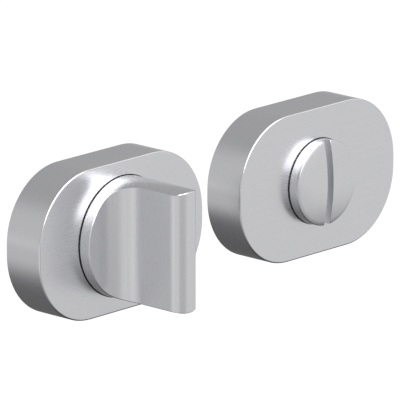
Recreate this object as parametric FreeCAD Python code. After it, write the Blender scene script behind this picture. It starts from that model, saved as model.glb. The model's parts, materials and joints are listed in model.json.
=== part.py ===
"""Bathroom turn and release: the thumb turn's rose and the coin release's rose, side by side.

Each half is a hollow satin rose over a moulded base plate. A disc with a neck turns in a
bush at the base's middle, held by a retaining ring from behind, and drives a short square
spindle. A pin in the base runs in a quarter-turn groove in the disc's back and stops it.

Millimetres, +Z up, the fronts face -Y. The origin is the thumb turn's axis at the back plane
that lies on the door. "Out" is the distance from that plane towards the front.
"""

import FreeCAD, Part

import math
import os

# Rose, as seen from the front
rose_width = 61.0
rose_height = 40.0
rose_depth = 11.75
end_flat = 2.6          # height of the nearly straight stretch at each end
end_radius = 105.0      # its slight outward curve
rose_bevel = 0.45       # bevel round the front edge
rose_pitch = 75.33      # from the thumb turn's axis to the release's axis

# Cover shell
cover_wall = 1.5
cover_front = 1.8
cover_inner_bevel = 0.6
disc_gap = 0.35         # shadow gap between a disc and the cover's hole
hole_bevel = 0.2

# Thumb turn: a disc that sweeps up into an upright wing
turn_radius = 16.0
turn_flange = 3.5       # disc front, out of the rose face
wing_thickness = 8.2
wing_reach = 23.9       # wing tip, out of the rose face
wing_fillet = 7.2       # hollow sweep between disc and wing
tip_radius = 3.3
turn_edge = 0.25        # bevel along the cut edges

# Coin release: a domed disc with a slot right across
release_radius = 11.55
release_rim = 3.2       # rim, out of the rose face
release_dome = 1.35     # rise of the dome above the rim
release_edge = 0.25
coin_slot_width = 2.3
coin_slot_depth = 2.4   # below the dome's top
release_flange_radius = 15.5  # collar behind the cover's hole

# Neck, bush and rings that carry each disc
disc_sunk = 4.0         # disc back, behind the rose face
neck_radius = 6.5
neck_play = 0.05
axial_play = 0.1
neck_land = 0.6         # neck beyond the retaining ring
bush_wall = 1.5
bush_flange_width = 1.5
bush_flange_thickness = 1.0
thrust_washer_thickness = 0.9
washer_play = 0.2       # washer bore over the neck
ring_thickness = 1.0
ring_groove_depth = 0.3
ring_band = 1.7         # widest part of the retaining ring
ring_thinning = 0.3     # how much narrower it is beside its gap
ring_gap_angle = 40.0
ring_eye_radius = 0.6
spring_height = 1.15
spring_sheet = 0.4
spring_width = 2.9
spring_play = 0.05

# Square spindle and its cross pin
spindle_square = 5.0
spindle_play = 0.05
spindle_behind = 22.0   # reach behind the back plane, into the lock case
spindle_depth = 10.0    # square hole's depth in the neck
spindle_end_gap = 0.4
spindle_bevel = 0.6
cross_pin_radius = 1.0
cross_pin_short = 0.2   # each pin end, inside the neck's surface

# Quarter-turn stop
stop_angle = 90.0
stop_radius = 13.5
stop_pin_radius = 1.0
stop_side_play = 0.3
stop_end_play = 0.3
stop_floor = 0.6        # collar left in front of the groove
stop_pin_root = 4.5     # pin's length in the base

# Base plate moulding
base_play = 0.3         # all round, inside the cover
base_plate = 3.0
base_rim_width = 1.4
base_rim_drop = 1.0     # rim top, behind the disc's back
hub_wall = 3.0
pocket_depth = 3.2      # recess in the back for ring and spring
pocket_play = 0.6
rib_thickness = 1.2
rib_drop = 1.0          # rib top, behind the hub's top
rib_count = 8
boss_wall = 2.0
boss_height = 4.5
stop_boss_wall = 1.3

# Fixings at 38 mm centres
fixing_spacing = 38.0
fixing_hole_radius = 3.0
spigot_radius = 4.0
spigot_length = 5.5
sleeve_bore_radius = 2.15
insert_bore_radius = 1.65
insert_head_width = 1.1
insert_head_thickness = 0.6
insert_length = 8.0

# Grub screw that holds each cover, from below
cover_screw_radius = 1.5
cover_screw_length = 5.0
cover_screw_play = 0.1
cover_screw_sunk = 0.3
cover_screw_out = 4.0
cover_screw_boss_wall = 1.3
hex_socket = 1.5
hex_socket_depth = 1.8

# Places along the axis that follow from the stack of rings
disc_back = rose_depth - disc_sunk
collar_front = rose_depth - cover_front - base_play
groove_depth = collar_front - disc_back - stop_floor
hub_top = disc_back - axial_play - thrust_washer_thickness - bush_flange_thickness
ring_front = pocket_depth - spring_play - spring_height
ring_back = ring_front - ring_thickness
neck_end = ring_back - neck_land
bush_bore = neck_radius + neck_play
bush_radius = bush_bore + bush_wall
bush_flange_radius = bush_radius + bush_flange_width
spring_bore = neck_radius + washer_play
pocket_radius = spring_bore + spring_width + pocket_play
hub_radius = bush_radius + hub_wall
base_inset = cover_wall + base_play
rim_top = disc_back - base_rim_drop
rib_top = hub_top - rib_drop
cover_screw_start = -rose_height / 2 + cover_screw_sunk

FRONT = FreeCAD.Vector(0, -1, 0)
UP = FreeCAD.Vector(0, 0, 1)
TURN_X = 0.0
RELEASE_X = rose_pitch


def at(x, out, z):
    """Point at x, a distance out from the back plane, and height z."""
    return FreeCAD.Vector(x, -out, z)


def rod(radius, start, end, x=0.0, z=0.0):
    """Round bar along the turning direction, from one distance out to another."""
    return Part.makeCylinder(radius, end - start, at(x, start, z), FRONT)


def tube(inner, outer, start, end, x=0.0, z=0.0):
    """Round bar with a hole through it."""
    return rod(outer, start, end, x, z).cut(rod(inner, start, end, x, z))


def block(width, height, start, end):
    """Rectangular bar along the axis, centred on it."""
    corner = at(-width / 2, end, -height / 2)
    return Part.makeBox(width, end - start, height, corner)


def turned(edges):
    """Solid turned about the axis from a closed outline of edges in the x and out plane."""
    face = Part.Face(Part.Wire(Part.__sortEdges__(edges)))
    return face.revolve(FreeCAD.Vector(0, 0, 0), FreeCAD.Vector(0, 1, 0), 360)


def lines(points):
    """Straight edges through the points in turn."""
    return [Part.LineSegment(a, b).toShape() for a, b in zip(points, points[1:])]


def on_circle(radius, angle, out):
    """Point on a circle round the axis, its angle counted from +X towards +Z."""
    turn = math.radians(angle)
    return at(radius * math.cos(turn), out, radius * math.sin(turn))


def edges_at(shape, out):
    """Edges of a shape that lie whole in the plane at one distance out."""
    flat = []
    for edge in shape.Edges:
        box = edge.BoundBox
        if abs(box.YMin + out) < 1e-4 and abs(box.YMax + out) < 1e-4:
            flat.append(edge)
    return flat


def rose_outline(inset, out):
    """Rose outline, or one parallel to it and smaller by an inset, as a wire of tangent arcs."""
    half_width = rose_width / 2 - inset
    half_height = rose_height / 2 - inset
    corner_z = end_flat / 2
    corner = half_height - corner_z
    end = end_radius - inset
    end_x = half_width - end
    corner_x = end_x + math.sqrt((end - corner) ** 2 - corner_z ** 2)
    tangent = math.atan2(corner_z, corner_x - end_x)
    middle = (tangent + math.pi / 2) / 2

    def spot(x, z, side, rise):
        return at(side * x, out, rise * z)

    def corner_arc(side, rise):
        top = spot(corner_x, half_height, side, rise)
        mid = spot(corner_x + corner * math.cos(middle),
                   corner_z + corner * math.sin(middle), side, rise)
        return Part.Arc(top, mid, meeting(side, rise)).toShape()

    def meeting(side, rise):
        return spot(end_x + end * math.cos(tangent), end * math.sin(tangent), side, rise)

    edges = []
    for side in (-1, 1):
        edges.append(corner_arc(side, 1))
        edges.append(corner_arc(side, -1))
        edges.append(Part.Arc(meeting(side, 1), spot(half_width, 0, side, 1),
                              meeting(side, -1)).toShape())
    for rise in (-1, 1):
        edges.append(Part.LineSegment(spot(corner_x, half_height, -1, rise),
                                      spot(corner_x, half_height, 1, rise)).toShape())
    return Part.Wire(Part.__sortEdges__(edges))


def rose_slab(inset, start, end):
    """Solid with the rose's outline, between two distances out."""
    return Part.Face(rose_outline(inset, start)).extrude(FRONT * (end - start))


def cover(disc_radius):
    """Hollow rose, open at the back, with a bevelled front edge and a hole for its disc."""
    body = rose_slab(0, 0, rose_depth)
    body = body.makeChamfer(rose_bevel, edges_at(body, rose_depth))
    cavity_end = rose_depth - cover_front
    cavity = rose_slab(cover_wall, 0, cavity_end)
    cavity = cavity.makeChamfer(cover_inner_bevel, edges_at(cavity, cavity_end))
    hole_radius = disc_radius + disc_gap
    hole = rod(hole_radius, cavity_end, rose_depth)
    mouth = Part.makeCone(hole_radius, hole_radius + hole_bevel, hole_bevel,
                          at(0, rose_depth - hole_bevel, 0), FRONT)
    return body.cut([cavity, hole, mouth, cover_screw_bore(cover_screw_play)])


def cover_screw_bore(play):
    """Upright bore of the cover's grub screw, from the bottom edge upwards."""
    length = cover_screw_length + cover_screw_sunk
    return Part.makeCylinder(cover_screw_radius + play, length,
                             at(0, cover_screw_out, -rose_height / 2), UP)


def cover_screw():
    """Socket grub screw that ties the cover to the base from below."""
    foot = at(0, cover_screw_out, cover_screw_start)
    body = Part.makeCylinder(cover_screw_radius, cover_screw_length, foot, UP)
    corners = [foot + FreeCAD.Vector(hex_socket / math.sqrt(3) * math.cos(math.radians(60 * i)),
                                     hex_socket / math.sqrt(3) * math.sin(math.radians(60 * i)),
                                     0) for i in range(7)]
    socket = Part.Face(Part.makePolygon(corners)).extrude(UP * hex_socket_depth)
    return body.cut(socket)


def base_rim():
    """Upright wall round the base, just inside the cover."""
    return rose_slab(base_inset, 0, rim_top).cut(
        rose_slab(base_inset + base_rim_width, 0, rim_top))


def base_ribs():
    """Spokes from the hub to the rim."""
    reach = rose_width / 2
    spoke = Part.makeBox(reach, rib_top, rib_thickness, at(0, rib_top, -rib_thickness / 2))
    spokes = []
    for i in range(rib_count):
        angle = 360 / rib_count * (i + 0.5)
        spokes.append(spoke.rotated(FreeCAD.Vector(0, 0, 0), FreeCAD.Vector(0, -1, 0), angle))
    ribs = spokes[0].fuse(spokes[1:])
    return ribs.common(rose_slab(base_inset, 0, rib_top))


def stop_pin_angles():
    """Where the base takes a stop pin: one place for each hand of door."""
    return 90 - stop_angle / 2, 90 + stop_angle / 2


def fixing_places():
    """Distances of the two fixing holes from the axis."""
    return -fixing_spacing / 2, fixing_spacing / 2


def base():
    """Moulded base plate: rim, ribs, hub, screw bosses and the spigots that enter the door."""
    adds = [base_rim(), base_ribs(), rod(hub_radius, 0, hub_top)]
    cuts = [rod(pocket_radius, 0, pocket_depth), rod(bush_radius, pocket_depth, hub_top)]
    for x in fixing_places():
        adds.append(rod(fixing_hole_radius + boss_wall, 0, boss_height, x))
        adds.append(rod(spigot_radius, -spigot_length, 0, x))
        cuts.append(rod(fixing_hole_radius, -spigot_length, boss_height, x))
    for angle in stop_pin_angles():
        spot = on_circle(stop_radius, angle, 0)
        adds.append(rod(stop_pin_radius + stop_boss_wall, 0, hub_top, spot.x, spot.z))
        cuts.append(rod(stop_pin_radius, hub_top - stop_pin_root, hub_top, spot.x, spot.z))
    screw_boss = Part.makeCylinder(cover_screw_radius + cover_screw_boss_wall,
                                   cover_screw_length + cover_screw_radius,
                                   at(0, cover_screw_out, -rose_height / 2), UP)
    adds.append(screw_boss.common(rose_slab(base_inset, 0, rose_depth)))
    cuts.append(cover_screw_bore(0))
    plate = rose_slab(base_inset, 0, base_plate)
    return plate.fuse(adds).cut(cuts).removeSplitter()


def bush():
    """Flanged bearing bush pressed into the hub."""
    sleeve = rod(bush_radius, pocket_depth, hub_top)
    flange = rod(bush_flange_radius, hub_top, hub_top + bush_flange_thickness)
    bore = rod(bush_bore, pocket_depth, hub_top + bush_flange_thickness)
    return sleeve.fuse(flange).cut(bore).removeSplitter()


def thrust_washer():
    """Flat slip ring between the bush's flange and the disc's back."""
    start = hub_top + bush_flange_thickness
    return tube(spring_bore, bush_flange_radius, start, start + thrust_washer_thickness)


def spring_washer():
    """Conical spring ring between the hub and the retaining ring."""
    outer = spring_bore + spring_width
    inner_back = at(spring_bore, ring_front, 0)
    outer_back = at(outer, ring_front + spring_height - spring_sheet, 0)
    outer_front = at(outer, ring_front + spring_height, 0)
    inner_front = at(spring_bore, ring_front + spring_sheet, 0)
    return turned(lines([inner_back, outer_back, outer_front, inner_front, inner_back]))


def retaining_ring():
    """Open ring in the neck's groove: wide opposite its gap, with an eye at each end."""
    inner = neck_radius - ring_groove_depth
    outer = inner + ring_band - ring_thinning
    ring = rod(outer, ring_back, ring_front, 0, ring_thinning)
    eyes = []
    holes = []
    for side in (-1, 1):
        angle = -90 + side * (ring_gap_angle / 2 + ring_eye_angle())
        middle = on_circle(inner + ring_eye_radius * 2, angle, ring_back)
        eyes.append(rod(ring_eye_radius * 2, ring_back, ring_front, middle.x, middle.z))
        holes.append(rod(ring_eye_radius, ring_back, ring_front, middle.x, middle.z))
    return ring.fuse(eyes).cut([rod(inner, ring_back, ring_front), ring_gap()] + holes)


def ring_eye_angle():
    """Angle from the ring's gap to the middle of an eye."""
    return math.degrees(2 * ring_eye_radius / neck_radius)


def ring_gap():
    """Wedge that opens the retaining ring at the bottom."""
    reach = neck_radius * 2
    corners = [at(0, ring_back, 0),
               on_circle(reach, -90 - ring_gap_angle / 2, ring_back),
               on_circle(reach, -90 + ring_gap_angle / 2, ring_back)]
    corners.append(corners[0])
    return Part.Face(Part.makePolygon(corners)).extrude(FRONT * ring_thickness)


def neck_cuts():
    """What is cut from a neck: ring groove, square hole and cross pin hole."""
    inner = neck_radius - ring_groove_depth
    groove = tube(inner, neck_radius + 1, ring_back, ring_front)
    width = spindle_square + 2 * spindle_play
    square = block(width, width, neck_end, neck_end + spindle_depth)
    return [groove, square, cross_pin_bar(neck_radius + 1)]


def cross_pin_out():
    """Distance out of the cross pin: the middle of the bush, which keeps it in."""
    return (pocket_depth + hub_top + bush_flange_thickness) / 2


def cross_pin_bar(reach):
    """Round bar across the axis."""
    return Part.makeCylinder(cross_pin_radius, 2 * reach, at(-reach, cross_pin_out(), 0),
                             FreeCAD.Vector(1, 0, 0))


def cross_pin():
    """Pin through neck and spindle."""
    return cross_pin_bar(neck_radius - cross_pin_short)


def stop_groove():
    """Groove in a disc's back, a quarter turn long, that the stop pin runs in."""
    half = stop_pin_radius + stop_side_play
    slack = math.degrees(stop_end_play / stop_radius)
    first, last = stop_pin_angles()
    end = disc_back + groove_depth
    ring = tube(stop_radius - half, stop_radius + half, disc_back, end)
    reach = rose_height
    corners = [at(0, disc_back, 0)]
    for angle in (first - slack, 90, last + slack):
        corners.append(on_circle(reach, angle, disc_back))
    corners.append(corners[0])
    sector = Part.Face(Part.makePolygon(corners)).extrude(FRONT * groove_depth)
    ends = []
    for angle in (first - slack, last + slack):
        spot = on_circle(stop_radius, angle, 0)
        ends.append(rod(stop_pin_radius + stop_side_play, disc_back, end, spot.x, spot.z))
    return ring.common(sector).fuse(ends)


def wing_profile():
    """Outline, seen along +Z, of the disc that sweeps up into the wing and its rounded tip."""
    flank = wing_thickness / 2
    front = rose_depth + turn_flange
    tip = rose_depth + wing_reach
    beyond = turn_radius + 1
    bend = math.sqrt(0.5)

    def side_edges(side):
        foot = at(side * (flank + wing_fillet), front, 0)
        hollow = at(side * (flank + wing_fillet * (1 - bend)), front + wing_fillet * (1 - bend), 0)
        rise = at(side * flank, front + wing_fillet, 0)
        shoulder = at(side * flank, tip - tip_radius, 0)
        round_mid = at(side * (flank - tip_radius * (1 - bend)), tip - tip_radius * (1 - bend), 0)
        crown = at(side * (flank - tip_radius), tip, 0)
        return lines([at(side * beyond, disc_back, 0), at(side * beyond, front, 0), foot]) + [
            Part.Arc(foot, hollow, rise).toShape(),
            Part.LineSegment(rise, shoulder).toShape(),
            Part.Arc(shoulder, round_mid, crown).toShape()]

    edges = side_edges(-1) + side_edges(1)
    edges += lines([at(-beyond, disc_back, 0), at(beyond, disc_back, 0)])
    edges += lines([at(-(flank - tip_radius), tip, 0), at(flank - tip_radius, tip, 0)])
    return Part.Wire(Part.__sortEdges__(edges))


def rim_edges(shape, radius):
    """Edges in front of the rose face where a turned side meets the front surfaces."""
    rim = []
    for edge in shape.Edges:
        spots = [vertex.Point for vertex in edge.Vertexes]
        middle = edge.valueAt((edge.FirstParameter + edge.LastParameter) / 2)
        spots.append(middle)
        round_side = all(abs(math.hypot(p.x, p.z) - radius) < 1e-3 for p in spots)
        if round_side and all(-p.y > rose_depth for p in spots):
            rim.append(edge)
    return rim


def thumb_turn():
    """Disc, wing and neck in one piece."""
    sweep = Part.Face(wing_profile()).extrude(UP * 2 * turn_radius)
    sweep.translate(FreeCAD.Vector(0, 0, -turn_radius))
    head = sweep.common(rod(turn_radius, disc_back, rose_depth + wing_reach + 1))
    head = head.makeChamfer(turn_edge, rim_edges(head, turn_radius))
    neck = rod(neck_radius, neck_end, disc_back)
    return head.fuse(neck).cut(neck_cuts() + [stop_groove()]).removeSplitter()


def release_profile():
    """Half outline of the release: neck, collar, rim, bevel and dome."""
    rim = rose_depth + release_rim
    bevelled = release_radius - release_edge
    dome_foot = at(bevelled, rim, 0)
    dome_top = at(0, rim + release_dome, 0)
    dome_radius = (bevelled ** 2 + release_dome ** 2) / (2 * release_dome)
    half_rise = math.sqrt(dome_radius ** 2 - bevelled ** 2 / 4) - dome_radius + release_dome
    dome_mid = at(bevelled / 2, rim + half_rise, 0)
    points = [at(0, neck_end, 0), at(neck_radius, neck_end, 0), at(neck_radius, disc_back, 0),
              at(release_flange_radius, disc_back, 0), at(release_flange_radius, collar_front, 0),
              at(release_radius, collar_front, 0), at(release_radius, rim - release_edge, 0),
              dome_foot]
    dome = Part.Arc(dome_foot, dome_mid, dome_top).toShape()
    return lines(points) + [dome] + lines([dome_top, points[0]])


def coin_release():
    """Domed disc, collar and neck in one piece, slotted across its face for a coin."""
    body = turned(release_profile())
    top = rose_depth + release_rim + release_dome
    slot = block(coin_slot_width, 2 * release_radius + 1, top - coin_slot_depth, top + 1)
    return body.cut(neck_cuts() + [stop_groove(), slot]).removeSplitter()


def spindle():
    """Square bar from the neck into the lock case, bevelled at its far end."""
    end = neck_end + spindle_depth - spindle_end_gap
    bar = block(spindle_square, spindle_square, -spindle_behind, end)
    bar = bar.makeChamfer(spindle_bevel, edges_at(bar, -spindle_behind))
    return bar.cut(cross_pin_bar(neck_radius))


def stop_pin(angle):
    """Pin pressed into the base, its head in the disc's groove."""
    spot = on_circle(stop_radius, angle, 0)
    return rod(stop_pin_radius, hub_top - stop_pin_root,
               disc_back + groove_depth - stop_end_play, spot.x, spot.z)


def sleeves():
    """Steel sleeves that line the two plain fixing holes."""
    return [tube(sleeve_bore_radius, fixing_hole_radius, -spigot_length, boss_height, x)
            for x in fixing_places()]


def inserts():
    """Headed thread inserts in the two fixing holes of the release's base."""
    solids = []
    for x in fixing_places():
        shank = rod(fixing_hole_radius, boss_height - insert_length, boss_height, x)
        head_radius = fixing_hole_radius + insert_head_width
        head = rod(head_radius, boss_height, boss_height + insert_head_thickness, x)
        bore = rod(insert_bore_radius, boss_height - insert_length,
                   boss_height + insert_head_thickness, x)
        solids.append(shank.fuse(head).cut(bore).removeSplitter())
    return solids


def moved(shape, x):
    """Copy of a shape, made on the origin's axis, at the axis at x."""
    copy = shape.copy()
    copy.translate(FreeCAD.Vector(x, 0, 0))
    return copy


def turn_half():
    """Pieces of the thumb turn half, by name."""
    return {
        "turn_cover": [cover(turn_radius)],
        "turn_base": [base()],
        "turn_bush": [bush()],
        "turn_knob": [thumb_turn()],
        "turn_spindle": [spindle()],
        "turn_cross_pin": [cross_pin()],
        "turn_thrust_washer": [thrust_washer()],
        "turn_spring_washer": [spring_washer()],
        "turn_retaining_ring": [retaining_ring()],
        "turn_stop_pin": [stop_pin(stop_pin_angles()[0])],
        "turn_fixing_sleeves": sleeves(),
        "turn_cover_screw": [cover_screw()],
    }


def release_half():
    """Pieces of the coin release half, by name."""
    return {
        "release_cover": [cover(release_radius)],
        "release_base": [base()],
        "release_bush": [bush()],
        "release_disc": [coin_release()],
        "release_spindle": [spindle()],
        "release_cross_pin": [cross_pin()],
        "release_thrust_washer": [thrust_washer()],
        "release_spring_washer": [spring_washer()],
        "release_retaining_ring": [retaining_ring()],
        "release_stop_pin": [stop_pin(stop_pin_angles()[1])],
        "release_thread_inserts": inserts(),
        "release_cover_screw": [cover_screw()],
    }


def export(name, solids, x):
    """Write one piece, or one group of like pieces, at its half's axis."""
    placed = [moved(solid, x) for solid in solids]
    shape = placed[0] if len(placed) == 1 else Part.makeCompound(placed)
    shape.exportStep("parts/" + name + ".step")


def main():
    """Build both halves and write every piece."""
    os.makedirs("parts", exist_ok=True)
    for x, half in ((TURN_X, turn_half()), (RELEASE_X, release_half())):
        for name, solids in half.items():
            export(name, solids, x)


main()
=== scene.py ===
"""Dresses a bathroom lock's two roses, its thumb turn and its coin release in satin steel.

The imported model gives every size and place. The pieces that show from the front are modelled
again with soft edges, and the pieces inside keep their solids and get their finishes. All
lengths are in metres. The fronts face -Y, and "out" is the distance from the back plane.
"""

import json
import logging
import math
from dataclasses import dataclass, field
from enum import Enum
from typing import ClassVar

import bmesh
import bpy
from mathutils import Matrix, Vector


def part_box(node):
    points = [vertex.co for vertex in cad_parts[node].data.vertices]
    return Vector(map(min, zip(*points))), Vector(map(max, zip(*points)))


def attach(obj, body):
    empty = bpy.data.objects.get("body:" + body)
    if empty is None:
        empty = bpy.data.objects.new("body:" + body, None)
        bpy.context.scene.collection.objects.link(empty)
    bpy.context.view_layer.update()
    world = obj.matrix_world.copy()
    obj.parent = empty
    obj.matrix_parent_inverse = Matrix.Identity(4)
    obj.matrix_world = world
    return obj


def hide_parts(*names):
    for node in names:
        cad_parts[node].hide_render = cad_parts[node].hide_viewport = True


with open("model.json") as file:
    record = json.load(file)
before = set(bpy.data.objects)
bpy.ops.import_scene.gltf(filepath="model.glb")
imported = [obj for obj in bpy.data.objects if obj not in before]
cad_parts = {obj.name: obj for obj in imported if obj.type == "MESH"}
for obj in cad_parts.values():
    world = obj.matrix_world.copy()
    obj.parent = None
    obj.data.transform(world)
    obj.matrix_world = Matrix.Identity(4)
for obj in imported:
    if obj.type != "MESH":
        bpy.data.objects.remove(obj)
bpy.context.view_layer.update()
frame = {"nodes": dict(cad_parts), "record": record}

Triple = tuple[float, float, float]
Vert = bmesh.types.BMVert
Edge = bmesh.types.BMEdge
Face = bmesh.types.BMFace
Socket = bpy.types.NodeSocket

MM = 0.001
TURN_RADIUS = 16.0 * MM

# Distances below which two points are one, and a point is on a round side
WELD = 1e-7
NEAR = 1e-6

# The groove in a disc's side that makes the dark line round it
SHADOW_WIDTH = 0.35 * MM
SHADOW_DEPTH = 0.9 * MM

# Finishes that come second and third on a piece
SOFT_SLOT = 1
WALL_SLOT = 2

# How many finer layers noise has, its average, and the part of its range that is used
PLAIN_NOISE = 2.0
RICH_NOISE = 3.0
NOISE_MIDDLE = 0.5
NOISE_SPAN = (0.3, 0.7)

BLACK = (0.0, 0.0, 0.0)
WHITE = (1.0, 1.0, 1.0)
log = logging.getLogger("bathroom_lock")


class Way(Enum):
    """The axes along which a brushed surface's lines run."""

    ACROSS = "x"
    UPRIGHT = "z"
    AROUND = "xz"


class Value:
    """A number that changes over a surface, as one output socket that takes arithmetic."""

    def __init__(self, sheet: "Sheet", socket: Socket) -> None:
        """Wraps a socket.

        Args:
            sheet: The sheet of nodes that the socket is on.
            socket: The output socket.
        """
        self.sheet = sheet
        self.socket = socket

    def _maths(self, operation: str, *terms: "float | Value") -> "Value":
        """Adds one Math node.

        Args:
            operation: The node's operation.
            terms: The numbers or values that go in, in order.

        Returns:
            What comes out.
        """
        node = self.sheet.node("ShaderNodeMath", {"operation": operation}, dict(enumerate(terms)))
        return Value(self.sheet, node.outputs[0])

    def __add__(self, other: "float | Value") -> "Value":
        """Sum of this and another."""
        return self._maths("ADD", self, other)

    def __sub__(self, other: "float | Value") -> "Value":
        """This less another."""
        return self._maths("SUBTRACT", self, other)

    def __mul__(self, other: "float | Value") -> "Value":
        """Product of this and another."""
        return self._maths("MULTIPLY", self, other)

    def __rsub__(self, other: float) -> "Value":
        """A number less this."""
        return self._maths("SUBTRACT", other, self)

    __radd__ = __add__

    def kept_within(self, low: float, high: float) -> "Value":
        """This, held between two numbers."""
        return self._maths("MINIMUM", self._maths("MAXIMUM", self, low), high)

    def eased(self, low: float, high: float) -> "Value":
        """A soft step of this, from 0 at the low number to 1 at the high one."""
        node = self.sheet.node("ShaderNodeMapRange", {"interpolation_type": "SMOOTHSTEP"},
                               {"Value": self, "From Min": low, "From Max": high})
        return Value(self.sheet, node.outputs["Result"])

    def blended(self, other: "Value", share: float) -> "Value":
        """This noise with a share of another, spread over 0 to 1."""
        return (self * (1 - share) + other * share).eased(*NOISE_SPAN)

    def around(self, middle: float, swing: float) -> "Value":
        """A number that this noise moves up and down."""
        return middle + (self - NOISE_MIDDLE) * swing


class Sheet:
    """A sheet of shader nodes, for a material or the world."""

    def __init__(self, owner: "bpy.types.Material | bpy.types.World") -> None:
        """Clears the owner's nodes.

        Args:
            owner: The material or world that the nodes belong to.
        """
        owner.use_nodes = True
        self.tree = owner.node_tree
        self.tree.nodes.clear()

    def node(self, kind: str, settings: dict | None = None,
             inputs: dict | None = None) -> bpy.types.Node:
        """Adds one node.

        Args:
            kind: The node's type.
            settings: Its properties, which are set first.
            inputs: Values, sockets or constants for its input sockets, by name or number.

        Returns:
            The node.
        """
        made = self.tree.nodes.new(kind)
        for name, setting in (settings or {}).items():
            setattr(made, name, setting)
        for key, given in (inputs or {}).items():
            if isinstance(given, Value):
                given = given.socket
            if isinstance(given, Socket):
                self.tree.links.new(given, made.inputs[key])
            else:
                made.inputs[key].default_value = given
        return made

    def stretched_noise(self, scale: Triple, detail: float,
                        rough: float = 0.5) -> Value:
        """Noise on Object coordinates, its grains as many to the metre as the scale says.

        Args:
            scale: Grains to the metre along X, Y and Z.
            detail: How many finer layers it has.
            rough: How strong the finer layers are.

        Returns:
            The noise, about 0.5 on average.
        """
        place = self.node("ShaderNodeTexCoord").outputs["Object"]
        mapped = self.node("ShaderNodeMapping", None, {"Vector": place, "Scale": scale})
        noise = self.node("ShaderNodeTexNoise", None, {
            "Vector": mapped.outputs["Vector"], "Scale": 1.0, "Detail": detail,
            "Roughness": rough})
        return Value(self, noise.outputs["Fac"])

    def tinted(self, share: Value, low: Triple,
               high: Triple) -> Socket:
        """A colour between two others.

        Args:
            share: 0 gives the low colour and 1 the high one.
            low: The first colour.
            high: The second colour.

        Returns:
            The colour's socket.
        """
        mix = self.node("ShaderNodeMix", {"data_type": "RGBA"},
                        {0: share, 6: (*low, 1.0), 7: (*high, 1.0)})
        return mix.outputs[2]

    def raised(self, height: Value, depth: float) -> Socket:
        """A bump.

        Args:
            height: The pattern, 1 where it stands highest.
            depth: How high that is.

        Returns:
            The normal's socket.
        """
        bump = self.node("ShaderNodeBump", None,
                         {"Height": height, "Distance": depth, "Strength": 1.0})
        return bump.outputs["Normal"]

    def finish_with(self, inputs: dict) -> None:
        """Joins a Principled shader with these inputs to the material's output."""
        shader = self.node("ShaderNodeBsdfPrincipled", None, inputs)
        self.node("ShaderNodeOutputMaterial", None, {"Surface": shader.outputs["BSDF"]})


@dataclass(frozen=True)
class Finish:
    """A finish whose colour, roughness and relief follow noise.

    Fields:
        name: The material's name.
        low: Its darkest colour.
        high: Its lightest colour.
        roughness: Middle roughness.
        swing: How far the noise moves the roughness.
        depth: Depth of the bump.
        metallic: 1 for a metal, 0 for a plastic.
    """

    name: str
    low: Triple
    high: Triple
    roughness: float
    swing: float
    depth: float
    metallic: float = 1.0

    def noises(self, sheet: Sheet) -> tuple[Value, Value]:
        """The noise that colour and roughness follow, and the bump's."""
        raise NotImplementedError

    def make(self) -> None:
        """Makes the material."""
        sheet = Sheet(bpy.data.materials.new(self.name))
        pattern, height = self.noises(sheet)
        sheet.finish_with({
            "Base Color": sheet.tinted(pattern, self.low, self.high),
            "Metallic": self.metallic,
            "Roughness": pattern.around(self.roughness, self.swing),
            "Normal": sheet.raised(height, self.depth)})


@dataclass(frozen=True)
class BrushedMetal(Finish):
    """Satin metal: fine lines in one direction over broader, fainter streaks.

    Fields:
        way: The direction of the brushing.
        lines: Fine lines to the metre, across the brushing.
        reach: Lines to the metre along the brushing.
        grit: How strong the finest lines are.
        coarser: How much coarser the streaks are.
        streaks: Their share.
    """

    roughness: float = 0.28
    swing: float = 0.03
    depth: float = 0.00016 * MM
    way: Way = Way.UPRIGHT
    lines: float = 7000.0
    reach: float = 80.0
    grit: float = 0.6
    coarser: float = 3.5
    streaks: float = 0.5

    def scale(self, coarser: float = 1.0) -> Triple:
        """Works out how far the noise is stretched.

        Args:
            coarser: How much coarser than the fine lines it is.

        Returns:
            Its scale along X, Y and Z.
        """
        along = self.reach / coarser
        across = self.lines / coarser
        return tuple(along if axis in self.way.value else across for axis in "xyz")

    def noises(self, sheet: Sheet) -> tuple[Value, Value]:
        """Lines with streaks, and the lines alone."""
        fine = sheet.stretched_noise(self.scale(), RICH_NOISE, self.grit)
        broad = sheet.stretched_noise(self.scale(self.coarser), PLAIN_NOISE)
        return fine.blended(broad, self.streaks), fine


@dataclass(frozen=True)
class Moulding(Finish):
    """Moulded plastic: an even fine skin and faint flow marks.

    Fields:
        grains: Grains to the metre.
        flow: Flow marks to the metre along X, Y and Z.
        flow_share: Their share.
    """

    roughness: float = 0.6
    swing: float = 0.2
    depth: float = 0.02 * MM
    metallic: float = 0.0
    grains: float = 2600.0
    flow: Triple = (90.0, 90.0, 260.0)
    flow_share: float = 0.3

    def noises(self, sheet: Sheet) -> tuple[Value, Value]:
        """Grains with flow marks, and the grains alone."""
        skin = sheet.stretched_noise((self.grains,) * 3, PLAIN_NOISE)
        flow = sheet.stretched_noise(self.flow, RICH_NOISE)
        return skin.blended(flow, self.flow_share), skin


@dataclass(frozen=True)
class TurnedMetal(Finish):
    """Machined or plated metal: fine tool marks round the axis over cloudy patches.

    Fields:
        marks: Tool marks to the metre, along the turning axis.
        breaks: Breaks in a mark to the metre.
        patches: Patches to the metre.
        patch_share: Their share.
    """

    roughness: float = 0.3
    swing: float = 0.15
    depth: float = 0.004 * MM
    marks: float = 4000.0
    breaks: float = 200.0
    patches: float = 350.0
    patch_share: float = 0.5

    def noises(self, sheet: Sheet) -> tuple[Value, Value]:
        """Marks with patches, and the marks alone."""
        rings = sheet.stretched_noise((self.breaks, self.marks, self.breaks), PLAIN_NOISE)
        patches = sheet.stretched_noise((self.patches,) * 3, RICH_NOISE)
        return rings.blended(patches, self.patch_share), rings


SATIN_LOW = (0.725, 0.728, 0.75)
SATIN_HIGH = (0.743, 0.746, 0.768)

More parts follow.
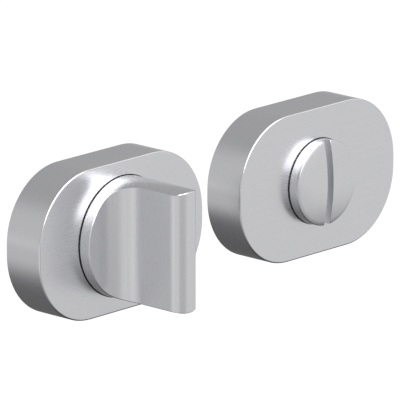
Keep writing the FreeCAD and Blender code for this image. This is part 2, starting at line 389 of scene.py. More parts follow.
FACE_STEEL = BrushedMetal("satin_steel_face", SATIN_LOW, SATIN_HIGH, way=Way.ACROSS)
WALL_STEEL = BrushedMetal("satin_steel_wall", SATIN_LOW, SATIN_HIGH, way=Way.AROUND)
TURN_STEEL = BrushedMetal("satin_steel_turn", SATIN_LOW, SATIN_HIGH, way=Way.UPRIGHT)
EDGE_STEEL = BrushedMetal("satin_steel_edge", SATIN_LOW, SATIN_HIGH, roughness=0.18,
                          way=Way.AROUND)
PLAIN_STEEL = TurnedMetal("plated_steel", (0.46, 0.46, 0.47), (0.6, 0.6, 0.62), 0.32)
DARK_STEEL = TurnedMetal("phosphated_steel", (0.1, 0.1, 0.105), (0.2, 0.2, 0.21), 0.42)
BRASS = TurnedMetal("turned_brass", (0.62, 0.45, 0.2), (0.8, 0.62, 0.32), 0.28)
NYLON = Moulding("filled_nylon", (0.045, 0.045, 0.05), (0.1, 0.1, 0.105), 0.55)
ACETAL = Moulding("white_acetal", (0.76, 0.76, 0.73), (0.88, 0.88, 0.86), 0.4)

INNER_FINISHES = {
    "nylon": NYLON, "brass": BRASS, "plain_steel": PLAIN_STEEL, "spring_steel": DARK_STEEL,
    "acetal": ACETAL}


def vertices_in(parts: list) -> list[Vert]:
    """The vertices among an operator's results."""
    return [part for part in parts if isinstance(part, Vert)]


def is_level(part: Edge | Face, out: float) -> bool:
    """Whether an edge or a face lies in the plane at a distance out."""
    return all(abs(v.co.y + out) < WELD for v in part.verts)


class Work:
    """A piece being modelled on the turning axis, out towards -Y, before it goes to its place."""

    def __init__(self) -> None:
        """Starts with nothing."""
        self.bm = bmesh.new()

    def point(self, x: float, out: float, z: float) -> Vert:
        """Adds a vertex."""
        return self.bm.verts.new((x, -out, z))

    def line(self, a: Vert, b: Vert) -> Edge:
        """Adds an edge."""
        return self.bm.edges.new((a, b))

    def arc(self, start: Vert, centre: Vector, axis: Vector, angle: float,
            steps: int) -> list[Vert]:
        """Swings a vertex round a centre.

        Args:
            start: The first vertex.
            centre: The arc's centre.
            axis: The axis of the swing.
            angle: The whole angle.
            steps: The number of edges.

        Returns:
            The arc's vertices, the first one included.
        """
        old = set(self.bm.verts)
        bmesh.ops.spin(self.bm, geom=[start], cent=centre, axis=axis, angle=angle, steps=steps,
                       use_merge=False, use_duplicate=False)
        made = [v for v in self.bm.verts if v not in old]
        return [start] + made

    def drawn(self, chain: list[Vert], places: list[Vector]) -> list[Vert]:
        """Extrudes a chain of joined vertices.

        Args:
            chain: The vertices in turn.
            places: Where the new ones go.

        Returns:
            The new vertices, in the same order.
        """
        edges = [self.bm.edges.get(pair) for pair in zip(chain, chain[1:])]
        fresh = vertices_in(bmesh.ops.extrude_edge_only(self.bm, edges=edges)["geom"])
        copies = [min(fresh, key=lambda v: (v.co - old.co).length_squared) for old in chain]
        for copy, place in zip(copies, places):
            copy.co = place
        return copies

    def circle(self, radius: float, place: Matrix, count: int) -> list[Edge]:
        """Adds a circle.

        Args:
            radius: Its radius.
            place: Its place, and the way that it faces.
            count: Its number of edges.

        Returns:
            Its edges.
        """
        made = bmesh.ops.create_circle(self.bm, cap_ends=False, segments=count, radius=radius,
                                       matrix=place)
        return list({e for v in made["verts"] for e in v.link_edges})

    def ring(self, radius: float, out: float, count: int, turn: float = 0.0) -> list[Edge]:
        """Adds a circle about the axis.

        Args:
            radius: Its radius.
            out: Its distance out.
            count: Its number of edges.
            turn: The angle that it is turned by.

        Returns:
            Its edges.
        """
        upright = Matrix.Rotation(math.pi / 2, 4, "X") @ Matrix.Rotation(turn, 4, "Z")
        return self.circle(radius, Matrix.Translation((0, -out, 0)) @ upright, count)

    def everything(self) -> list:
        """All its vertices, edges and faces."""
        return self.bm.verts[:] + self.bm.edges[:] + self.bm.faces[:]

    def divide(self, place: Triple, normal: Triple) -> None:
        """Adds edges where a plane crosses the surface."""
        bmesh.ops.bisect_plane(self.bm, geom=self.everything(), dist=WELD, plane_co=place,
                               plane_no=normal)

    def fill(self, edges: list[Edge]) -> None:
        """Fills what lies between two flat loops of edges."""
        bmesh.ops.triangle_fill(self.bm, edges=edges, use_beauty=True, use_dissolve=False)

    def lifted(self, faces: list[Face]) -> list[Vert]:
        """Frees faces, joined by walls to where they were.

        Args:
            faces: The faces.

        Returns:
            The freed faces' vertices, to be moved.
        """
        made = vertices_in(bmesh.ops.extrude_face_region(self.bm, geom=faces)["geom"])
        bmesh.ops.delete(self.bm, geom=faces, context="FACES")
        return made

    def middle_out(self, loop: list[Edge]) -> float:
        """How far out the middle of a loop of edges is."""
        return -sum(v.co.y for e in loop for v in e.verts) / (2 * len(loop))

    def bridge(self, loops: list[list[Edge]], closed: bool = False) -> None:
        """Joins loops of edges in turn with faces.

        Two loops in one plane are parted while they are joined, so that both run the same way.

        Args:
            loops: The loops, each with as many edges as the next.
            closed: Whether the last is joined to the first too.
        """
        after = loops[1:] + loops[:1] if closed else loops[1:]
        for first, second in zip(loops, after):
            apart = self.middle_out(first) - self.middle_out(second)
            shift = Vector((0, 0 if abs(apart) > WELD else MM, 0))
            moved = list({v for e in second for v in e.verts})
            bmesh.ops.translate(self.bm, vec=shift, verts=moved)
            bmesh.ops.bridge_loops(self.bm, edges=first + second)
            bmesh.ops.translate(self.bm, vec=-shift, verts=moved)

    def soften(self, edges: list[Edge], width: float, rows: int) -> None:
        """Takes the sharpness off edges, and gives them the fine edges' finish.

        Args:
            edges: The edges.
            width: The width of what comes in their place.
            rows: Its rows of faces.
        """
        made = bmesh.ops.bevel(self.bm, geom=edges, offset=width, offset_type="OFFSET",
                               segments=rows, profile=0.5, affect="EDGES", material=-1,
                               clamp_overlap=True)
        for face in made["faces"]:
            face.material_index = SOFT_SLOT

    def ring_groove(self, radius: float, out: float, width: float, depth: float) -> None:
        """Cuts a groove round a turned side.

        Args:
            radius: The side's radius.
            out: How far out the groove starts.
            width: Its width.
            depth: Its depth.
        """
        for cut in (out, out + width):
            self.divide((0, -cut, 0), (0, 1, 0))
        band = [face for face in self.bm.faces
                if out < -face.calc_center_median().y < out + width
                and all(abs(math.hypot(v.co.x, v.co.z) - radius) < NEAR for v in face.verts)]
        shrink = (radius - depth) / radius
        bmesh.ops.scale(self.bm, vec=(shrink, 1, shrink), verts=self.lifted(band))

    def bored(self, face: Face, centre: Vector, radius: float, count: int = 20) -> list[Edge]:
        """Cuts a round hole in a flat, level face.

        Args:
            face: The face.
            centre: The hole's centre.
            radius: Its radius.
            count: Its number of edges.

        Returns:
            The hole's edges.
        """
        rim = list(face.edges)
        bmesh.ops.delete(self.bm, geom=[face], context="FACES_ONLY")
        hole = self.circle(radius, Matrix.Translation(centre), count)
        self.fill(rim + hole)
        return hole

    def piece(self, name: str, x: float, finishes: tuple[BrushedMetal, ...],
              sharp: float = 40.0) -> bpy.types.Object:
        """Turns the work into an object at its place.

        Args:
            name: The object's name.
            x: Where its turning axis is.
            finishes: Its finishes, in the order of its slots.
            sharp: Angle in degrees from which an edge stays sharp.

        Returns:
            The object.
        """
        bmesh.ops.remove_doubles(self.bm, verts=self.bm.verts, dist=WELD)
        bmesh.ops.recalc_face_normals(self.bm, faces=self.bm.faces)
        bmesh.ops.translate(self.bm, vec=(x, 0, 0), verts=self.bm.verts)
        mesh = bpy.data.meshes.new(name)
        self.bm.to_mesh(mesh)
        self.bm.free()
        mesh.shade_smooth()
        mesh.set_sharp_from_angle(angle=math.radians(sharp))
        for finish in finishes:
            mesh.materials.append(bpy.data.materials[finish.name])
        made = bpy.data.objects.new(name, mesh)
        bpy.context.scene.collection.objects.link(made)
        return made


@dataclass
class SteelPiece:
    """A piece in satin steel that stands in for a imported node.

    Fields:
        node: The node, which gives its outer size and its place.
    """

    finishes: ClassVar[tuple[BrushedMetal, ...]] = (TURN_STEEL, EDGE_STEEL)
    node: str

    def __post_init__(self) -> None:
        """Reads the node's box: its middle, its halves, and how far out its ends are."""
        low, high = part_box(self.node)
        self.x = (low.x + high.x) / 2
        self.half_width = (high.x - low.x) / 2
        self.half_height = (high.z - low.z) / 2
        self.reach = -low.y
        self.end = -high.y
        self.work = Work()

    def model(self) -> None:
        """Models the piece on the turning axis."""
        raise NotImplementedError

    def brush(self, made: bpy.types.Object) -> None:
        """Leaves the finishes of its faces as modelled."""

    def build(self, body: str) -> None:
        """Models the piece and lets it ride in its node's place.

        Args:
            body: The body that it rides on.
        """
        self.model()
        made = self.work.piece(self.node + "_satin", self.x, self.finishes)
        self.brush(made)
        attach(made, body)
        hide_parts(self.node)
        shading = made.modifiers.new("even_shading", "WEIGHTED_NORMAL")
        shading.keep_sharp = True
        log.info("%s: %d faces, rides on %s", made.name, len(made.data.polygons), body)


@dataclass
class RoseCover(SteelPiece):
    """Hollow rounded rose with a soft front edge and a hole for its disc.

    Fields:
        disc: The radius of the disc in its hole.
        wall: Thickness of its side.
        front: Thickness of its face.
        end_flat: Height of the nearly straight stretch at each end.
        edge: Width of the soft front edge.
        edge_rows: Its rows of faces.
        gap: Room round the disc.
        hole_edge: Width of the hole's soft edge.
        hole_rows: Its rows of faces.
        inner_bevel: Width of the bevel inside, between face and side.
        wall_tilt: How far a face may point along the axis and still be wall.
        steps: Edges to a quarter turn.
        flat_steps: Edges along the top and the bottom.
        screw_out: Where its grub screw is, out from the back plane.
        screw_radius: Radius of the grub screw's hole.
    """

    finishes: ClassVar[tuple[BrushedMetal, ...]] = (FACE_STEEL, EDGE_STEEL, WALL_STEEL)
    disc: float
    wall: float = 1.5 * MM
    front: float = 1.8 * MM
    end_flat: float = 2.6 * MM
    edge: float = 0.45 * MM
    edge_rows: int = 3
    gap: float = 0.15 * MM
    hole_edge: float = 0.08 * MM
    hole_rows: int = 1
    inner_bevel: float = 0.6 * MM
    wall_tilt: float = 0.7
    steps: int = 24
    flat_steps: int = 16
    screw_out: float = 4.0 * MM
    screw_radius: float = 1.6 * MM

    def outline(self, inset: float, out: float) -> list[Edge]:
        """Adds the rose's outline, or a smaller one parallel to it.

        Args:
            inset: How far inside the rose's own outline it lies.
            out: Its distance out.

        Returns:
            Its edges.
        """
        full_corner = self.half_height - self.end_flat / 2
        corner = full_corner - inset
        shift_x = self.half_width - full_corner
        shift_z = self.end_flat / 2
        old = set(self.work.bm.edges)
        arcs = []
        for quarter, (side, rise) in enumerate(((1, 1), (-1, 1), (-1, -1), (1, -1))):
            centre = Vector((side * shift_x, -out, rise * shift_z))
            angle = quarter * math.pi / 2
            start = Vector((math.cos(angle), 0, math.sin(angle)))
            first = self.work.bm.verts.new(centre + start * corner)
            arcs.append(self.work.arc(first, centre, Vector((0, -1, 0)), math.pi / 2, self.steps))
        flats = [self.work.line(arc[-1], after[0]) for arc, after in zip(arcs, arcs[1:] + arcs[:1])]
        bmesh.ops.subdivide_edges(self.work.bm, edges=flats[::2], cuts=self.flat_steps - 1)
        return [edge for edge in self.work.bm.edges if edge not in old]

    def model(self) -> None:
        """Models the shell."""
        inner_out = self.reach - self.front
        hole = self.disc + self.gap
        back = self.outline(0, 0)
        count = len(back)
        front = self.outline(0, self.reach)
        mouth = self.work.ring(hole, self.reach, count)
        loops = [back, front, mouth, self.work.ring(hole, inner_out, count),
                 self.outline(self.wall + self.inner_bevel, inner_out),
                 self.outline(self.wall, inner_out - self.inner_bevel),
                 self.outline(self.wall, 0)]
        self.work.bridge(loops, closed=True)
        self.bore_for_screw()
        self.work.soften(front, self.edge, self.edge_rows)
        self.work.soften(mouth, self.hole_edge, self.hole_rows)

    def bore_for_screw(self) -> None:
        """Bores the grub screw's hole through the bottom wall."""
        rims = []
        for height in (-self.half_height, -self.half_height + self.wall):
            flat = [f for f in self.work.bm.faces
                    if all(abs(v.co.z - height) < WELD for v in f.verts)]
            whole = bmesh.ops.dissolve_faces(self.work.bm, faces=flat)["region"]
            centre = Vector((0, -self.screw_out, height))
            rims.append(self.work.bored(whole[0], centre, self.screw_radius))
        self.work.bridge(rims)

    def brush(self, made: bpy.types.Object) -> None:
        """Brushes the wall round the rose, while the face is brushed along it.

        Args:
            made: The piece.
        """
        for face in made.data.polygons:
            if face.material_index != SOFT_SLOT and abs(face.normal.y) < self.wall_tilt:
                face.material_index = WALL_SLOT


@dataclass
class Neck:
    """What is behind a disc: the groove for its stop pin, and the neck that it turns on.

    Fields:
        work: The piece, whose only open edges are its back's rim.
        back: How far out the disc's back is.
        end: How far out the neck's end is.
        radius: The neck's radius.
        ring_front: Where the retaining ring's groove starts.
        ring_back: Where it ends.
        ring_depth: Its depth.
        socket: Side of the square hole for the spindle.
        socket_depth: Its depth.
        stop_radius: Radius of the stop groove's middle.
        stop_half_width: Half its width.
        stop_depth: Its depth.
        stop_from: Angle in degrees, from +X towards +Z, at which it starts.
        stop_to: Angle at which it ends.
    """

    work: Work
    back: float
    end: float
    radius: float = 6.5 * MM
    ring_front: float = 2.0 * MM
    ring_back: float = 1.0 * MM
    ring_depth: float = 0.3 * MM
    socket: float = 5.1 * MM
    socket_depth: float = 10.0 * MM
    stop_radius: float = 13.5 * MM
    stop_half_width: float = 1.3 * MM
    stop_depth: float = 1.3 * MM
    stop_from: float = 37.0
    stop_to: float = 143.0

    def add(self) -> None:
        """Closes the open back of a disc and adds the neck."""
        rim = [edge for edge in self.work.bm.edges if edge.is_boundary]
        count = len(rim)
        groove = self.radius - self.ring_depth
        shape = ((self.stop_radius + self.stop_half_width, self.back),
                 (self.stop_radius - self.stop_half_width, self.back),
                 (self.radius, self.back), (self.radius, self.ring_front),
                 (groove, self.ring_front), (groove, self.ring_back),
                 (self.radius, self.ring_back), (self.radius, self.end))
        rings = [self.work.ring(radius, out, count) for radius, out in shape]
        self.work.bridge([rim] + rings)
        self.cut_stop_groove()
        self.add_socket(rings[-1])

    def cut_stop_groove(self) -> None:
        """Sinks the quarter-turn groove into the disc's back."""
        low = self.stop_radius - self.stop_half_width
        high = self.stop_radius + self.stop_half_width
        sunk = []
        for face in self.work.bm.faces:
            middle = face.calc_center_median()
            angle = math.degrees(math.atan2(middle.z, middle.x))
            reach = math.hypot(middle.x, middle.z)
            inside = low < reach < high and self.stop_from < angle < self.stop_to
            if inside and is_level(face, self.back):
                sunk.append(face)
        floor = self.work.lifted(sunk)
        bmesh.ops.translate(self.work.bm, vec=(0, -self.stop_depth, 0), verts=floor)

    def add_socket(self, rim: list[Edge]) -> None:
        """Cuts the square hole into the neck's end.

        Args:
            rim: The neck's last ring.
        """
        corner = self.socket / math.sqrt(2)
        squares = [self.work.ring(corner, out, 4, math.pi / 4)
                   for out in (self.end, self.end + self.socket_depth)]
        self.work.fill(rim + squares[0])
        self.work.bridge(squares)
        bmesh.ops.contextual_create(self.work.bm, geom=squares[1])


@dataclass
class ThumbTurn(SteelPiece):
    """Disc that sweeps up into an upright wing, with the neck behind it.

    Fields:
        rose_depth: The rose's thickness.
        flange: How far the disc's front stands out of the rose's face.
        thickness: Of the wing.
        fillet: Radius of the hollow sweep.
        tip: Radius of the tip's corners.
        sunk: How far the disc's back lies behind the rose's face.
        edge: Width of the fine slope along its edges.
        steps: Edges to a quarter turn.
        across: Edges across half the wing's thickness.
    """

    rose_depth: float
    flange: float = 3.5 * MM
    thickness: float = 8.2 * MM
    fillet: float = 7.2 * MM
    tip: float = 3.3 * MM
    sunk: float = 4.0 * MM
    edge: float = 0.17 * MM
    steps: int = 18
    across: int = 5

    def __post_init__(self) -> None:
        """Reads the turn's size, and works out where its disc's front and back are."""
        super().__post_init__()
        self.radius = self.half_width
        self.front = self.rose_depth + self.flange
        self.back = self.rose_depth - self.sunk

    def profile(self) -> list[Vert]:
        """Adds the left half of the outline seen from above, from the disc to the wing's crown.

        Returns:
            Its vertices in turn.
        """
        flank = -self.thickness / 2
        foot = self.work.point(flank - self.fillet, self.front, 0)
        hollow = Vector((flank - self.fillet, -self.front - self.fillet, 0))
        rise = self.work.arc(foot, hollow, Vector((0, 0, 1)), -math.pi / 2, self.steps)
        shoulder = self.work.point(flank, self.reach - self.tip, 0)
        self.work.line(rise[-1], shoulder)
        middle = Vector((flank + self.tip, -self.reach + self.tip, 0))
        bend = self.work.arc(shoulder, middle, Vector((0, 0, 1)), math.pi / 2, self.steps // 2)
        chain = rise + bend
        for step in range(1, self.across + 1):
            share = 1 - step / self.across
            chain.append(self.work.point((flank + self.tip) * share, self.reach, 0))
            self.work.line(chain[-2], chain[-1])
        return chain

    def raised(self, place: Vector, inset: float = 0.0) -> Vector:
        """The point of the turned side straight above a place, or one a little inside it."""
        height = math.sqrt(max((self.radius - inset) ** 2 - place.x ** 2, 0.0))
        return Vector((place.x, place.y, height))

    def disc_front(self, foot: Vert, top: Vert) -> list[Vert]:
        """Fills the flat part of the disc beside the sweep.

        Args:
            foot: The sweep's foot at mid height.
            top: Its foot at the disc's edge.

        Returns:
            The disc's edge, from the sweep round to mid height.
        """
        swing = math.pi - math.atan2(top.co.z, top.co.x)
        rim = self.work.arc(top, Vector((0, -self.front, 0)), Vector((0, -1, 0)), swing, self.steps)
        rim[-1].co.z = 0
        edges = [self.work.bm.edges.get(pair) for pair in zip(rim, rim[1:])]
        edges += [self.work.line(rim[-1], foot), self.work.bm.edges.get((foot, top))]
        bmesh.ops.contextual_create(self.work.bm, geom=edges)
        return rim

    def outward(self, chain: list[Vert]) -> list[Vector]:
        """The directions square to the outline, out of the metal, at its vertices."""
        runs = [after.co - before.co for before, after in zip(chain, chain[1:])]
        return [Vector((run.y, -run.x, 0)).normalized() for run in runs + runs[-1:]]

    def soften_front(self, rim: list[Vert], tops: list[Vert],
                     ways: list[Vector]) -> list[Vert]:
        """Adds the fine slope between the front surfaces and the turned side.

        Args:
            rim: The flat front's edge, from mid height to the sweep.
            tops: The edge of the sweep and the wing, from the sweep's foot.
            ways: The directions out of the metal along the tops.

        Returns:
            The slope's last vertices, on the turned side.
        """
        grow = self.radius / (self.radius - self.edge)
        ends = [Vector((v.co.x * grow, v.co.y + self.edge, v.co.z * grow)) for v in rim]
        ends += [self.raised(v.co - way * self.edge) for v, way in zip(tops[1:], ways[1:])]
        return self.work.drawn(rim + tops[1:], ends)

    def quarter(self) -> None:
        """Models the upper left quarter: sweep, disc front, turned side and the wing's top."""
        chain = self.profile()
        tops = self.work.drawn(chain, [self.raised(v.co, self.edge) for v in chain])
        rim = self.disc_front(chain[0], tops[0])[::-1]
        sharp = set(self.work.bm.faces)
        soft = self.soften_front(rim, tops, self.outward(chain))
        edges = set(self.work.bm.faces) - sharp
        disc = soft[:len(rim) + self.steps]
        lows = self.work.drawn(disc, [Vector((v.co.x, -self.back, v.co.z)) for v in disc])
        row = [lows[-1]] + soft[len(disc) - 1:len(soft) - self.across]
        for step in range(self.across, 0, -1):
            shrink = (step - 1) / step
            places = [self.raised(Vector((v.co.x * shrink, v.co.y, 0))) for v in row]
            row = self.work.drawn(row, places)
        for face in edges:
            face.material_index = SOFT_SLOT

    def model(self) -> None:
        """Models the turn."""
        self.quarter()
        bmesh.ops.remove_doubles(self.work.bm, verts=self.work.bm.verts, dist=WELD)
        for axis in ("X", "Z"):
            bmesh.ops.mirror(self.work.bm, geom=self.work.everything(), matrix=Matrix.Identity(4),
                             merge_dist=WELD, axis=axis)
        bmesh.ops.remove_doubles(self.work.bm, verts=self.work.bm.verts, dist=WELD)
        Neck(self.work, self.back, self.end).add()
        bmesh.ops.recalc_face_normals(self.work.bm, faces=self.work.bm.faces)
        self.work.ring_groove(self.radius, self.rose_depth, SHADOW_WIDTH, SHADOW_DEPTH)


@dataclass
class CoinRelease(SteelPiece):
    """Domed disc with a slot right across it, a collar and a neck.

    Fields:
        rose_depth: The rose's thickness.
        radius: The disc's radius.
        rim: How far the rim stands out of the rose's face.
        cover_front: Thickness of the cover's face.
        collar_gap: Room between the collar and the cover's face.
        sunk: How far the collar's back lies behind the rose's face.
        slot_width: The coin slot's width.
        slot_depth: Its depth below the dome's top.
        edge: Width of the soft rim.
        edge_rows: Its rows of faces.
        slot_edge: Width of the slot's soft edges.
        slot_rows: Their rows of faces.
        crease: Angle from which an edge along the slot is sharp.
        steps: Edges to a full turn.
        rings: Edges from the rim to the dome's middle.
    """

    rose_depth: float
    radius: float = 11.55 * MM
    rim: float = 3.2 * MM
    cover_front: float = 1.8 * MM
    collar_gap: float = 0.3 * MM
    sunk: float = 4.0 * MM
    slot_width: float = 2.3 * MM
    slot_depth: float = 2.4 * MM
    edge: float = 0.17 * MM
    edge_rows: int = 1
    slot_edge: float = 0.07 * MM
    slot_rows: int = 2
    crease: float = 0.5
    steps: int = 128
    rings: int = 10

    def __post_init__(self) -> None:
        """Reads the release's size, and works out where its back and its slot are."""
        super().__post_init__()
        self.back = self.rose_depth - self.sunk
        self.half_slot = self.slot_width / 2
        self.floor = self.reach - self.slot_depth

    def profile(self) -> list[Edge]:
        """Adds the half outline from the collar's back to the dome's middle.

        Returns:
            Its edges.
        """
        collar_front = self.rose_depth - self.cover_front - self.collar_gap
        rim = self.rose_depth + self.rim
        rise = self.reach - rim
        dome = (self.radius ** 2 + rise ** 2) / (2 * rise)
        corners = [(self.half_width, self.back), (self.half_width, collar_front),
                   (self.radius, collar_front), (self.radius, rim)]
        chain = [self.work.point(radius, out, 0) for radius, out in corners]
        for a, b in zip(chain, chain[1:]):
            self.work.line(a, b)
        centre = Vector((0, dome - self.reach, 0))
        swing = -math.asin(self.radius / dome)
        self.work.arc(chain[-1], centre, Vector((0, 0, 1)), swing, self.rings)
        return list(self.work.bm.edges)

    def cut_slot(self) -> None:
        """Cuts the coin slot right across the dome and the rim."""
        for x in (self.half_slot, -self.half_slot):
            self.work.divide((x, 0, 0), (1, 0, 0))
        self.work.divide((0, -self.floor, 0), (0, 1, 0))
        above = []
        for face in self.work.bm.faces:
            middle = face.calc_center_median()
            if abs(middle.x) < self.half_slot and -middle.y > self.floor:
                above.append(face)
        bmesh.ops.delete(self.work.bm, geom=above, context="FACES")
        self.close_slot()

    def on_side(self, edge: Edge, side: int) -> bool:
        """Whether an edge lies in the slot's left side, -1, or its right, 1."""
        return all(abs(v.co.x - side * self.half_slot) < WELD for v in edge.verts)

    def close_slot(self) -> None:
        """Gives the open slot its two walls and its floor."""
        gaps = [e for e in self.work.bm.edges
                if e.is_boundary and min(-v.co.y for v in e.verts) > self.floor - WELD]
        ends = [v for v in self.work.bm.verts if abs(abs(v.co.x) - self.half_slot) < WELD
                and abs(v.co.y + self.floor) < WELD]
        floor_lines = []
        for side in (-1, 1):
            line = self.work.line(*[v for v in ends if v.co.x * side > 0])
            wall = [e for e in gaps if self.on_side(e, side)]
            bmesh.ops.contextual_create(self.work.bm, geom=wall + [line])
            floor_lines.append(line)
        arcs = [e for e in gaps if is_level(e, self.floor)]
        bmesh.ops.contextual_create(self.work.bm, geom=arcs + floor_lines)

    def slot_rims(self) -> list[Edge]:
        """Finds the sharp edges along the top of the slot.

        Returns:
            The edges.
        """
        return [e for e in self.work.bm.edges
                if (self.on_side(e, -1) or self.on_side(e, 1))
                and max(-v.co.y for v in e.verts) > self.floor + WELD
                and len(e.link_faces) == 2 and e.calc_face_angle() > self.crease]

    def model(self) -> None:
        """Models the release."""
        bmesh.ops.spin(self.work.bm, geom=self.profile(), cent=(0, 0, 0), axis=(0, 1, 0),
                       angle=2 * math.pi, steps=self.steps, use_merge=True, use_duplicate=False)
        bmesh.ops.remove_doubles(self.work.bm, verts=self.work.bm.verts, dist=WELD)
        rim = [e for e in self.work.bm.edges if is_level(e, self.rose_depth + self.rim)]
        self.work.soften(rim, self.edge, self.edge_rows)
        self.cut_slot()
        Neck(self.work, self.back, self.end).add()
        bmesh.ops.recalc_face_normals(self.work.bm, faces=self.work.bm.faces)
        self.work.soften(self.slot_rims(), self.slot_edge, self.slot_rows)
        self.work.ring_groove(self.radius, self.rose_depth, SHADOW_WIDTH, SHADOW_DEPTH)


class InnerPieces:
    """The pieces inside and behind the roses, which keep their solids and get their finishes."""

    def dress(self) -> None:
        """Gives each inner node the finish of its slot."""
        slots = {sub["node"]: sub["material_slot"] for sub in frame["record"]["subparts"]}
        for name, piece in frame["nodes"].items():
            finish = INNER_FINISHES.get(slots[name])
            if finish is None:
                continue
            piece.data.materials.clear()
            piece.data.materials.append(bpy.data.materials[finish.name])
            log.info("%s: keeps its solid, finished as %s", name, finish.name)


@dataclass(frozen=True)
class Glow:
    """A soft spot in the surroundings, brighter or darker than the rest.

    Fields:
        centre: Where it is: a point on the floor, or a direction in the sky.
        core: Distance from the centre within which it is full.
        edge: Distance at which it has gone.
        strength: What it adds.
    """

    centre: Triple
    core: float
    edge: float
    strength: float

    def over(self, sheet: Sheet, place: Socket) -> Value:
        """Adds the spot's nodes.

        Args:
            sheet: The sheet of nodes.
            place: The socket of the place or direction.

        Returns:
            What the spot adds there.
        """
        far = sheet.node("ShaderNodeVectorMath", {"operation": "DISTANCE"},
                         {0: place, 1: self.centre})
        away = Value(sheet, far.outputs["Value"])
        return (1 - away.eased(self.core, self.edge)) * self.strength


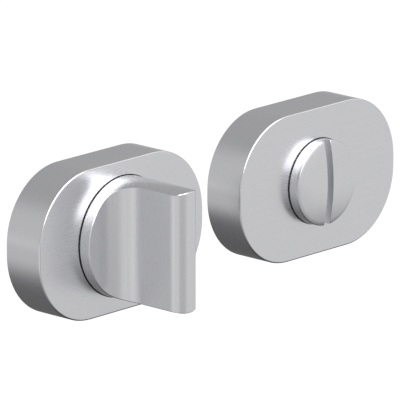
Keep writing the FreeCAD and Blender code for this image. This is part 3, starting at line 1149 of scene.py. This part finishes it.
@dataclass
class Studio:
    """White surroundings, a pale floor, one soft lamp above the front, and the camera.

    Fields:
        eye: The camera's place.
        aim: The point that it looks at.
        lens: Its focal length in millimetres, on a 36 mm sensor.
        floor_drop: How far the floor lies below the roses' middle.
        floor_size: The floor's side.
        floor_paint: The colour that keeps the shadow.
        floor_shine: The strength of the light that it sends to the eye and to reflections.
        floor_share: That light's share there.
        floor_level: Its brightness in reflections.
        floor_painted_spots: Painted shade and painted light on the floor that only reflections
            show: darker spots, the strongest behind and below the roses in place of their shade,
            and brighter ones.
        sky_level: The surroundings' brightness.
        sky_glows: Their brighter spots.
        lamp_way: Direction from the roses to the lamp.
        lamp_far: Its distance.
        lamp_size: Its width.
        lamp_watts: Its power.
    """

    eye: Vector = field(default_factory=lambda: Vector((-1.26745, -1.21855, 0.48002)))
    aim: Vector = field(default_factory=lambda: Vector((0.04229, 0.00025, -0.00097)))
    lens: float = 633.97
    floor_drop: float = 0.25
    floor_size: float = 12.0
    floor_paint: tuple[float, float, float, float] = (0.8, 0.8, 0.8, 1.0)
    floor_shine: float = 1.1
    floor_share: float = 0.9
    floor_level: float = 0.68
    # Painted shade and painted light: darker and brighter spots on the floor that only reflections
    # show
    floor_painted_spots: tuple[Glow, ...] = (
        Glow((0.13, 0.21, -0.25), 0.20, 0.80, -0.60),
        Glow((0.20, -0.12, -0.25), 0.12, 0.42, -0.15),
        Glow((-0.18, -0.95, -0.25), 0.36, 0.80, -0.28),
        Glow((-0.95, 0.00, -0.25), 0.10, 0.27, 0.38),
        Glow((-0.65, 0.65, -0.25), 0.15, 0.50, -0.15),
        Glow((-0.55, -0.50, -0.25), 0.05, 0.30, 0.16))
    sky_level: float = 0.43
    sky_glows: tuple[Glow, ...] = (
        Glow((-0.8, 0.5, 0.2), 0.30, 0.75, 0.20),
        Glow((-0.65, -0.74, 0.15), 0.12, 0.40, 0.42),
        Glow((0.7, -0.6, 0.2), 0.45, 1.10, 0.30),
        Glow((0.7, -0.26, 0.66), 0.25, 0.60, 0.36))
    lamp_way: Vector = field(default_factory=lambda: Vector((-0.05, -0.66, 0.68)))
    lamp_far: float = 1.4
    lamp_size: float = 2.3
    lamp_watts: float = 25.0

    def hang(self, name: str, data: bpy.types.ID, place: Vector) -> bpy.types.Object:
        """Adds a camera or a lamp that faces the roses.

        Args:
            name: Its name.
            data: Its data.
            place: Where it is.

        Returns:
            The object.
        """
        made = bpy.data.objects.new(name, data)
        made.location = place
        made.rotation_mode = "QUATERNION"
        made.rotation_quaternion = (self.aim - place).to_track_quat("-Z", "Y")
        bpy.context.scene.collection.objects.link(made)
        return made

    def add_camera(self) -> None:
        """Puts the camera at the photograph's viewing angle."""
        data = bpy.data.cameras.new("camera")
        data.lens = self.lens
        bpy.context.scene.camera = self.hang("camera", data, self.eye)

    def add_floor(self) -> None:
        """Lays a plain pale floor, white to the eye."""
        bm = bmesh.new()
        bmesh.ops.create_grid(bm, x_segments=1, y_segments=1, size=self.floor_size / 2,
                              matrix=Matrix.Translation((0, 0, -self.floor_drop)))
        mesh = bpy.data.meshes.new("floor")
        bm.to_mesh(mesh)
        bm.free()
        floor = bpy.data.objects.new("floor", mesh)
        floor.data.materials.append(self.floor_finish())
        bpy.context.scene.collection.objects.link(floor)

    def seen_as_white(self, sheet: Sheet, level: Value) -> tuple[Socket, Value]:
        """Works out a background's colour, which is white to the camera.

        Args:
            sheet: The sheet of nodes.
            level: Its brightness in mirrored light.

        Returns:
            The colour, and 1 for the rays that are to see it.
        """
        path = sheet.node("ShaderNodeLightPath")
        seen = Value(sheet, path.outputs["Is Camera Ray"])
        mirrored = Value(sheet, path.outputs["Is Glossy Ray"])
        through = Value(sheet, path.outputs["Is Transmission Ray"])
        bright = (seen + (1 - seen) * level).kept_within(0.0, 1.0)
        colour = sheet.tinted(bright, BLACK, WHITE)
        return colour, (seen + mirrored + through).kept_within(0.0, 1.0)

    def floor_finish(self) -> bpy.types.Material:
        """Makes the floor's finish.

        Returns:
            White paint that keeps a shadow, with painted shade and painted light in spots that only
            reflections show.
        """
        material = bpy.data.materials.new("pale_floor")
        sheet = Sheet(material)
        place = sheet.node("ShaderNodeTexCoord").outputs["Object"]
        # Painted shade and painted light: the floor's spots darken and brighten what reflections
        # show of it
        level = sum((glow.over(sheet, place) for glow in self.floor_painted_spots), self.floor_level)
        colour, shown = self.seen_as_white(sheet, level)
        paint = sheet.node("ShaderNodeBsdfDiffuse", None, {"Color": self.floor_paint})
        light = sheet.node("ShaderNodeEmission", None,
                           {"Color": colour, "Strength": self.floor_shine})
        mix = sheet.node("ShaderNodeMixShader", None, {
            0: shown * self.floor_share, 1: paint.outputs[0], 2: light.outputs[0]})
        sheet.node("ShaderNodeOutputMaterial", None, {"Surface": mix.outputs[0]})
        return material

    def add_world(self) -> None:
        """Surrounds the roses with soft light, white to the eye."""
        world = bpy.data.worlds.new("studio")
        bpy.context.scene.world = world
        sheet = Sheet(world)
        way = sheet.node("ShaderNodeTexCoord").outputs["Generated"]
        level = sum((glow.over(sheet, way) for glow in self.sky_glows), self.sky_level)
        colour, _ = self.seen_as_white(sheet, level)
        sky = sheet.node("ShaderNodeBackground", None, {"Color": colour, "Strength": 1.0})
        sheet.node("ShaderNodeOutputWorld", None, {"Surface": sky.outputs[0]})

    def add_lamp(self) -> None:
        """Hangs the soft lamp."""
        data = bpy.data.lights.new("soft_lamp", "AREA")
        data.shape = "DISK"
        data.size = self.lamp_size
        data.energy = self.lamp_watts
        self.hang("soft_lamp", data, self.aim + self.lamp_way.normalized() * self.lamp_far)

    def build(self) -> None:
        """Sets the studio up."""
        bpy.context.scene.view_settings.view_transform = "Standard"
        self.add_camera()
        self.add_floor()
        self.add_world()
        self.add_lamp()
        log.info("studio: camera, floor, surroundings and one soft lamp")


def main() -> None:
    """Builds the lock's visible pieces, finishes the inner ones and sets up the studio."""
    logging.basicConfig(level=logging.INFO, format="%(message)s")
    for finish in (FACE_STEEL, WALL_STEEL, TURN_STEEL, EDGE_STEEL, *INNER_FINISHES.values()):
        finish.make()
    turn_cover = RoseCover("turn_cover", disc=TURN_RADIUS)
    turn_cover.build("roses")
    release = CoinRelease("release_disc", turn_cover.reach)
    release_cover = RoseCover("release_cover", disc=release.radius)
    release_cover.build("roses")
    ThumbTurn("turn_knob", turn_cover.reach).build("thumb_turn")
    release.build("coin_release")
    InnerPieces().dress()
    Studio().build()


if __name__ == "__main__":
    main()
